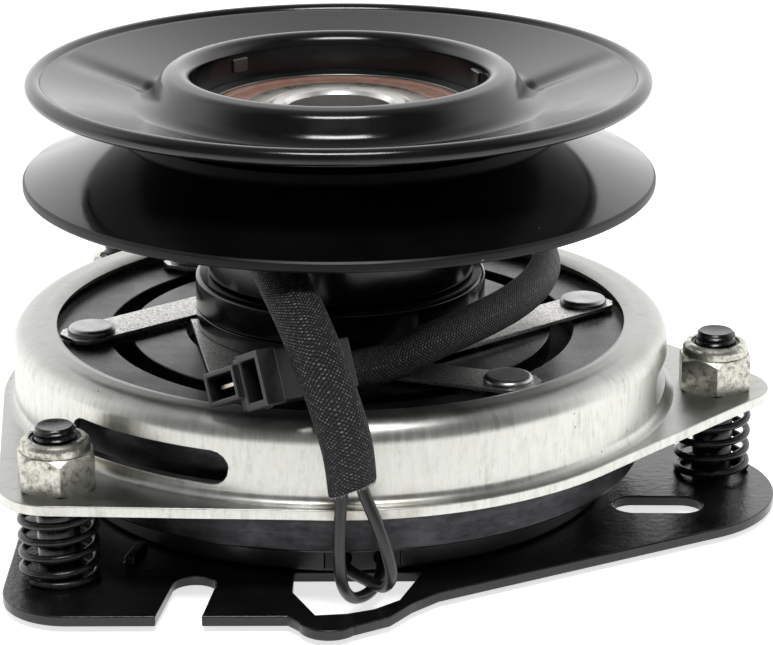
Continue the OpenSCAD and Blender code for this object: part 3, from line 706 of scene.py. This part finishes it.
def add_fray(rim, outward, centre):
    """Short pale ends of cut threads round the sleeve's mouth, each a thin four-sided prism with a bend."""
    chance = np.random.default_rng(7)
    quarters = (0, 1.57, 3.14, 4.71)
    verts, faces = [], []
    for k in range(0, len(rim), 2):
        aside = (rim[k] - centre) / np.linalg.norm(rim[k] - centre)
        across = np.cross(aside, outward)
        lean = outward + aside * chance.uniform(-0.3, 0.35) + across * chance.uniform(-0.9, 0.9)
        tip = rim[k] + lean / np.linalg.norm(lean) * chance.uniform(0.35, 1.0) * MM
        root = rim[k] - outward * 0.3 * MM
        base = len(verts)
        for point, half in ((root, 0.1 * MM), ((rim[k] + tip) / 2, 0.09 * MM), (tip, 0.05 * MM)):
            verts += [point + half * (math.cos(a) * aside + math.sin(a) * across) for a in quarters]
        for low in (base, base + 4):
            faces += [(low + n, low + (n + 1) % 4, low + 4 + (n + 1) % 4, low + 4 + n) for n in range(4)]
        faces.append((base + 8, base + 9, base + 10, base + 11))
    bm = bmesh.new()
    bm.from_mesh(mesh_of("fray", verts, faces))
    fray = add_object("braided_sleeve_fray", mesh_from("fray", bm), FIELD, FRAY, 60)
    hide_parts("braided_sleeve")


add_wire("lead_wire_a_insulation", WIRE_A_ROUTE, "lead_wire_a")
add_wire("lead_wire_b_insulation", WIRE_B_ROUTE, "lead_wire_b")
sleeve, sleeve_line = add_sleeve()
housing = refined("connector_housing", FIELD, CONNECTOR, 0.35, 3)


# ---- pulley ---------------------------------------------------------------------
SHEET = 2.8
FINE_TURNS = 320
# the dents beside the crown: where they are, how far they spread and how deep they go
DIMPLE_ANGLES = (165, 15)
DIMPLE_AT, DIMPLE_SPREAD, DIMPLE_DEPTH = 48.6, 3.6, 1.9
# the rolled rim's bead: its centre as (radius, height), and its own radius
BEAD_AT, BEAD_R = (74.1, 105.9), 2.1
LUG_LOW, LUG_HIGH, LUG_HALF_WIDTH = 101.1, 104.7, 2.4
LUG_AT, LUG_THICK = 35.2, 1.7


def upper_flange():
    """Stamped flange with its crown; the bearing seat's wall goes down inside the crown."""
    outline = sheet_outline([(37.4, 80.4, 0), (37.4, 107.6, 1.9), (41.9, 106.6, 2.0), (46.6, 98.2, 7),
                             (71.5, 105.3, 5), (73.6, 105.8, 0)], SHEET, 12, 9)
    obj = lathe("pulley_upper_flange_pressing", outline, PULLEY, PULLEY_PAINT, FINE_TURNS)
    co = np.array([v.co for v in obj.data.vertices])
    outside = co[:, 2] > 96 * MM
    for angle in DIMPLE_ANGLES:
        turn = math.radians(angle)
        at = np.array([math.cos(turn) * DIMPLE_AT, math.sin(turn) * DIMPLE_AT]) * MM
        away = np.linalg.norm(co[:, :2] - at, axis=1) / MM
        co[:, 2] -= DIMPLE_DEPTH * MM * (np.exp(-(away / DIMPLE_SPREAD) ** 2) * outside)
    obj.data.vertices.foreach_set("co", co.ravel())
    steps = [2 * math.pi * k / 28 for k in range(28)]
    bead = [(BEAD_AT[0] + BEAD_R * math.cos(a), BEAD_AT[1] + BEAD_R * math.sin(a)) for a in steps]
    rim = lathe("pulley_upper_flange_rolled_rim", bead, PULLEY, PULLEY_PAINT, FINE_TURNS, 60)
    for piece in (obj, rim, lug("crown_lug_left", 135), lug("crown_lug_right", 20)):
        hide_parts("pulley_upper_flange")


def lug(name, angle):
    """A small lanced tab with rounded corners, standing inside the crown over the bearing."""
    turn = Matrix.Rotation(math.radians(angle), 4, "Z")
    low, high, half = LUG_LOW, LUG_HIGH, LUG_HALF_WIDTH
    face = filleted([(0, low, 0), (half, low, 1.1), (half, high, 0.6), (-half, high, 0.6),
                     (-half, low, 1.1), (0, low, 0)])
    bm = bmesh.new()
    # the tab's middle bulges slightly towards the axis
    verts = [bm.verts.new(turn @ mm(LUG_AT + 0.02 * t * t, t, z)) for t, z in face[:-1]]
    extrude(bm, [bm.faces.new(verts)], turn @ mm(LUG_THICK, 0, 0))
    bmesh.ops.bevel(bm, geom=creases(bm, 60), offset=0.3 * MM, segments=3, profile=0.5, affect="EDGES",
                    clamp_overlap=True)
    return add_object(name, mesh_from(name, bm), PULLEY, LUG_STEEL, 50)


def lower_flange():
    """Conical flange, with a duller coat on its edge and at the groove's root."""
    outline = closed_fillets([(77.1, 80.2, 0.4), (77.6, 80.9, 0.4), (77.6, 82.4, 0.4), (77.1, 82.95, 0.4),
                              (53, 93.4, 1.2), (53, 96.2, 0.2), (50.3, 96.2, 0.2), (50.3, 89.4, 1.6),
                              (38.9, 89.4, 0), (38.9, 86.7, 0), (53.5, 86.7, 1), (57.5, 88.6, 1)])
    obj = lathe("pulley_lower_flange_pressing", outline, PULLEY, LOWER_PAINT, FINE_TURNS)
    obj.data.materials.append(ROOT_PAINT)
    obj.data.materials.append(EDGE_PAINT)
    for face in obj.data.polygons:
        x, y, z = face.center
        radius = math.hypot(x, y) / MM
        if radius > 76.9:
            face.material_index = 2
        elif 52.5 < radius < 54 and z > 92.9 * MM:
            face.material_index = 1
    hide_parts("pulley_lower_flange")


def inner_race():
    """The upper bearing's inner ring, with its ball track."""
    pitch, groove, middle = 26.75, 5.58, 90.5
    track = [(pitch - groove * math.cos(math.radians(t)), middle + groove * math.sin(math.radians(t)), 0)
             for t in range(-49, 50, 7)]
    outline = closed_fillets([(17.5, 82, 0.6), (23.1, 82, 0.4), *track,
                              (23.1, 99, 0.5), (17.5, 99, 0.7)])
    ring = lathe("upper_bearing_inner_ring", outline, ROTOR, RACE_STEEL)
    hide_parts("upper_bearing_inner_race")


def bearing_seals():
    """The upper bearing's two rubber seals, each with a shallow channel in its outer face."""
    for name, face, back, dip in (("top", 98.6, 97.5, 98.3), ("bottom", 82.4, 83.5, 82.7)):
        outline = closed_fillets([(23.4, back, 0), (31.5, back, 0), (31.5, face, 0.2),
                                  (29.9, face, 0.2), (29.5, dip, 0.15), (25.5, dip, 0.15),
                                  (25.1, face, 0.2), (23.4, face, 0.25)])
        seal = lathe("upper_bearing_seal_" + name, outline, PULLEY, SEAL)
        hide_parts("upper_bearing_seals")


upper_flange()
lower_flange()
refined("pulley_hub", PULLEY, HUB_PAINT, 0.3)
refined("hub_drive_flange", PULLEY, HUB_PAINT, 0.3)
refined("hub_clamp_ring", PULLEY, HUB_PAINT, 0.25)
refined("hub_backing_ring", PULLEY, HUB_PAINT, 0.25)
refined("upper_bearing_outer_race", PULLEY, OUTER_RACE, 0.4)
bearing_seals()
inner_race()
refined("rotor_hub", ROTOR, HUB_STEEL, 0.2)
refined("rotor_disc", ROTOR, ROTOR_STEEL, 0.25)


# ---- armature and its straps --------------------------------------------------------
def plate(name, outline, holes, low, high):
    """A flat piece from an outline and round holes (x, y, r), all in mm, with softened edges."""
    bm = bmesh.new()
    loops = [outline]
    for x, y, r in holes:
        turns = [2 * math.pi * k / 48 for k in range(48)]
        loops.append([(x + r * math.cos(a), y + r * math.sin(a)) for a in turns])
    for loop in loops:
        verts = [bm.verts.new((x * MM, y * MM, low * MM)) for x, y in loop]
        for a, b in zip(verts, verts[1:] + verts[:1]):
            bm.edges.new((a, b))
    bmesh.ops.triangle_fill(bm, use_beauty=True, use_dissolve=False, edges=bm.edges[:])
    bmesh.ops.dissolve_limit(bm, angle_limit=0.01, verts=bm.verts, edges=bm.edges)
    extrude(bm, bm.faces[:], (0, 0, (high - low) * MM))
    bmesh.ops.recalc_face_normals(bm, faces=bm.faces)
    rims = [e for e in creases(bm, 60) if abs(e.verts[0].co.z - e.verts[1].co.z) < 1e-6]
    bmesh.ops.bevel(bm, geom=rims, offset=0.12 * MM, segments=2, profile=0.5, affect="EDGES",
                    clamp_overlap=False)
    return mesh_from(name, bm)


RIVET_ANGLES = [10 + 60 * k for k in range(6)]
RIVET_R = 62.3
STRAP_LOW, STRAP_HIGH = 43.3, 44.3


def add_strap(index, angle):
    """One leaf spring, from its rivet on the armature back to its rivet in the hub."""
    turn = Matrix.Rotation(math.radians(angle), 2)
    back = math.radians(-60)
    outer = Vector((RIVET_R, 0))
    inner = Vector((RIVET_R / 2 * math.cos(back), RIVET_R / 2 * math.sin(back)))
    along = (inner - outer).normalized()
    across = Vector((-along.y, along.x))
    outline = [outer - 4.6 * along + 6 * across, outer - 7 * along + 3.4 * across,
               outer - 7 * along - 3.4 * across, outer - 4.6 * along - 6 * across,
               inner + 5.2 * along - 6 * across, inner + 5.2 * along + 6 * across]
    points = [tuple(turn @ p) for p in outline]
    holes = [(*(turn @ outer), 3.3), (*(turn @ inner), 2.6)]
    name = "leaf_spring_%d" % (index + 1)
    mesh = plate(name, points, holes, STRAP_LOW, STRAP_HIGH)
    obj = add_object(name, mesh, None, LEAF_STEEL)
    even_faces(obj)
    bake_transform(obj)
    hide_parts("leaf_springs")


for number, rivet_angle in enumerate(RIVET_ANGLES):
    add_strap(number, rivet_angle)
refined("armature_disc", ARMATURE, ARMATURE_STEEL, 0.3)
refined("armature_rivets", ARMATURE, RIVET_STEEL, 0.2)


# ---- brake plate, studs, nuts and springs -----------------------------------------------
STUD_R = 93.8
STUD_ANGLES = {"left": -133.4, "right": -1.4, "rear": 130.6}


def add_springs():
    """The three black coil springs round the studs."""
    wire, mean, turns, steps = 0.95, 8.6, 5.5, 48
    # the share of the wire that lies flat at each end, and the share that climbs
    closed, climbing = 0.09, 0.82
    count = int(turns * steps)
    ring = [(wire * MM * math.cos(2 * math.pi * k / 14), wire * MM * math.sin(2 * math.pi * k / 14))
            for k in range(14)]
    for side_name, angle in STUD_ANGLES.items():
        node = "air_gap_spring_" + side_name
        low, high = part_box(node)
        cx, cy = STUD_R * math.cos(math.radians(angle)) * MM, STUD_R * math.sin(math.radians(angle)) * MM
        z0, z1 = low.z + wire * MM, high.z - wire * MM
        rise = np.clip((np.arange(count + 1) / count - closed) / climbing, 0, 1)
        a = math.radians(angle) + 2 * math.pi * np.arange(count + 1) / steps
        x, y = cx + mean * MM * np.cos(a), cy + mean * MM * np.sin(a)
        line = np.stack([x, y, z0 + (z1 - z0) * rise], axis=1)
        ahead = directions(line)
        out = np.stack([np.cos(a), np.sin(a), np.zeros_like(a)], axis=1)
        mesh = sweep(node + "_coil", line, out, np.cross(ahead, out), lambda i: ring)
        obj = add_object(node + "_coil", mesh, None, SPRING_BLACK, 60)
        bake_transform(obj)
        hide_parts(node)


def add_studs():
    """Three studs with a real thread on top and a low head under the plate."""
    radius, top, pitch, depth = 4.95, 41.4, 1.5, 0.5
    thread_from, turns = 26.0, 72
    # each ring is (radius, height, 1 where the thread is cut)
    rings = [(0.001, 0.25, 0), (3.0, 0.1, 0), (7.4, 0, 0), (7.85, 0.15, 0), (8, 0.5, 0), (8, 1.2, 0),
             (7.8, 1.5, 0), (radius, 1.5, 0)]
    rings += [(radius, z, 0) for z in np.arange(1.5, thread_from, 4.9)]
    rings += [(radius, z, 1) for z in np.arange(thread_from, top + 0.01, 0.14)]
    rings += [(radius - 1.0, top, 0), (radius - 1.6, top - 0.12, 0), (0.001, top - 0.3, 0)]
    verts, faces = [], []
    for angle in STUD_ANGLES.values():
        cx, cy = STUD_R * math.cos(math.radians(angle)), STUD_R * math.sin(math.radians(angle))
        base = len(verts)
        for r, z, threaded in rings:
            for k in range(turns):
                a = 2 * math.pi * k / turns
                phase = z / pitch - k / turns
                cut = threaded * depth * (0.5 - 0.5 * math.cos(2 * math.pi * phase)) ** 0.7
                # the second limit is the chamfer at the tip
                edge = min(r - cut, radius - 0.9 + max(0.0, top - z) * 1.1) if threaded else r
                verts.append(((cx + edge * math.cos(a)) * MM, (cy + edge * math.sin(a)) * MM, z * MM))
        for i in range(len(rings) - 1):
            this, after = base + i * turns, base + (i + 1) * turns
            faces += [(this + k, this + (k + 1) % turns, after + (k + 1) % turns, after + k)
                      for k in range(turns)]
    bm = bmesh.new()
    bm.from_mesh(mesh_of("studs", verts, faces))
    bmesh.ops.remove_doubles(bm, verts=bm.verts, dist=0.003 * MM)
    bmesh.ops.holes_fill(bm, edges=bm.edges[:], sides=100)
    mesh = mesh_from("studs", bm)
    obj = add_object("adjusting_studs_threaded", mesh, FIELD, STUD_BLACK, 40)
    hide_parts("adjusting_studs")


refined("brake_plate", BRAKE, ZINC, 0.3, 3)
add_springs()
add_studs()
for which in STUD_ANGLES:
    refined("adjusting_nut_" + which, "nut_" + which, NUT_ZINC, 0.25, 2,
            flat=0.2, sharp=24, clamp=True)


# ---- field and mounting plate ----------------------------------------------------------
refined("mounting_plate", FIELD, PLATE_COAT, 0.4, 3)
refined("field_shell", FIELD, SHELL_COAT, 0.4, 3)


# ---- CAD nodes that stay, with their finish -------------------------------------------
def finish_node(node, material):
    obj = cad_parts[node]
    obj.data.materials.clear()
    obj.data.materials.append(material)


for kept, kept_material in {
    "coil_bobbin": BOBBIN, "coil_winding": COPPER, "coil_potting": POTTING,
    "lower_bearing_outer_race": OUTER_RACE, "lower_bearing_inner_race": RACE_STEEL,
    "lower_bearing_seals": SEAL_BLACK, "lower_bearing_cage": CAGE_BRASS, "lower_bearing_balls": BALL_STEEL,
    "upper_bearing_cage": CAGE_BRASS, "upper_bearing_balls": BALL_STEEL, "lead_grommet": GROMMET,
    "connector_terminals": TERMINAL, "friction_ring": FRICTION, "brake_pads": FRICTION,
    "hub_rivets": RIVET_STEEL, "nut_insert_left": INSERT, "nut_insert_right": INSERT,
    "nut_insert_rear": INSERT,
}.items():
    finish_node(kept, kept_material)


# ---- stage and light -----------------------------------------------------------------
# the floor's white, its grey towards the camera (painted shade) and its glow (painted light)
WHITE_FLOOR, SHADE_GREY_FLOOR, FLOOR_GLOW = (0.93, 0.93, 0.93), (0.4, 0.4, 0.4), 0.7
FRONT_GLOW, BACK_GLOW, TOP_SHARE = 0.16, 1.6, 0.2


def add_floor():
    """White under and behind the object, falling off to grey towards the camera as painted shade, and
    glowing under and behind the object as painted light.
    """
    size = 3.0
    corners = [(-size, -size, 0), (size, -size, 0), (size, size, 0), (-size, size, 0)]
    mesh = mesh_of("floor", corners, [(0, 1, 2, 3)])
    s = Shader("floor_painted_glow", WHITE_FLOOR, roughness=0.9)
    # y is in metres here, and the camera is at -0.69
    y = s.axis(s.node("ShaderNodeTexCoord", out="Object"), 1)
    # painted shade: the floor's colour turns grey towards the camera
    s.drive("Base Color", s.mix(s.span(y, 0.0, 1.0, -0.45, -0.2), SHADE_GREY_FLOOR, WHITE_FLOOR))
    s.set("Emission Color", (1, 1, 1, 1))
    # painted light: the floor glows under and behind the object
    s.drive("Emission Strength", s.span(y, 0.0, FLOOR_GLOW, -0.28, -0.13))
    mesh.materials.append(s.mat)
    floor = bpy.data.objects.new("floor", mesh)
    bpy.context.scene.collection.objects.link(floor)


def add_light(name, place, target, width, height, power):
    data = bpy.data.lights.new(name, "AREA")
    data.shape = "RECTANGLE"
    data.size, data.size_y = width, height
    data.energy = power
    light = bpy.data.objects.new(name, data)
    light.location = place
    light.rotation_euler = (Vector(target) - Vector(place)).to_track_quat("-Z", "Y").to_euler()
    bpy.context.scene.collection.objects.link(light)


def add_world():
    """A bright white backdrop behind and beside the object, and a dark room above and behind the camera."""
    world = bpy.data.worlds.new("studio")
    world.use_nodes = True
    tree = world.node_tree
    back = tree.nodes["Background"]
    back.inputs["Color"].default_value = (1, 1, 1, 1)
    where = tree.nodes.new("ShaderNodeTexCoord")
    parts = tree.nodes.new("ShaderNodeSeparateXYZ")
    tree.links.new(where.outputs["Generated"], parts.inputs[0])

    def ramp(output, *numbers):
        n = tree.nodes.new("ShaderNodeMapRange")
        n.interpolation_type = "SMOOTHSTEP"
        tree.links.new(output, n.inputs[0])
        for socket, value in zip(n.inputs[1:5], numbers):
            socket.default_value = value
        return n.outputs[0]

    behind = ramp(parts.outputs["Y"], -0.35, 0.25, FRONT_GLOW, BACK_GLOW)
    overhead = ramp(parts.outputs["Z"], 0.45, 0.92, 1.0, TOP_SHARE)
    both = tree.nodes.new("ShaderNodeMath")
    both.operation = "MULTIPLY"
    tree.links.new(behind, both.inputs[0])
    tree.links.new(overhead, both.inputs[1])
    tree.links.new(both.outputs[0], back.inputs["Strength"])
    bpy.context.scene.world = world


add_floor()
add_world()
add_light("key", (0.0, -0.45, 0.9), (0, 0, 0.08), 0.42, 0.2, 6)
bpy.context.scene.view_settings.view_transform = "Standard"
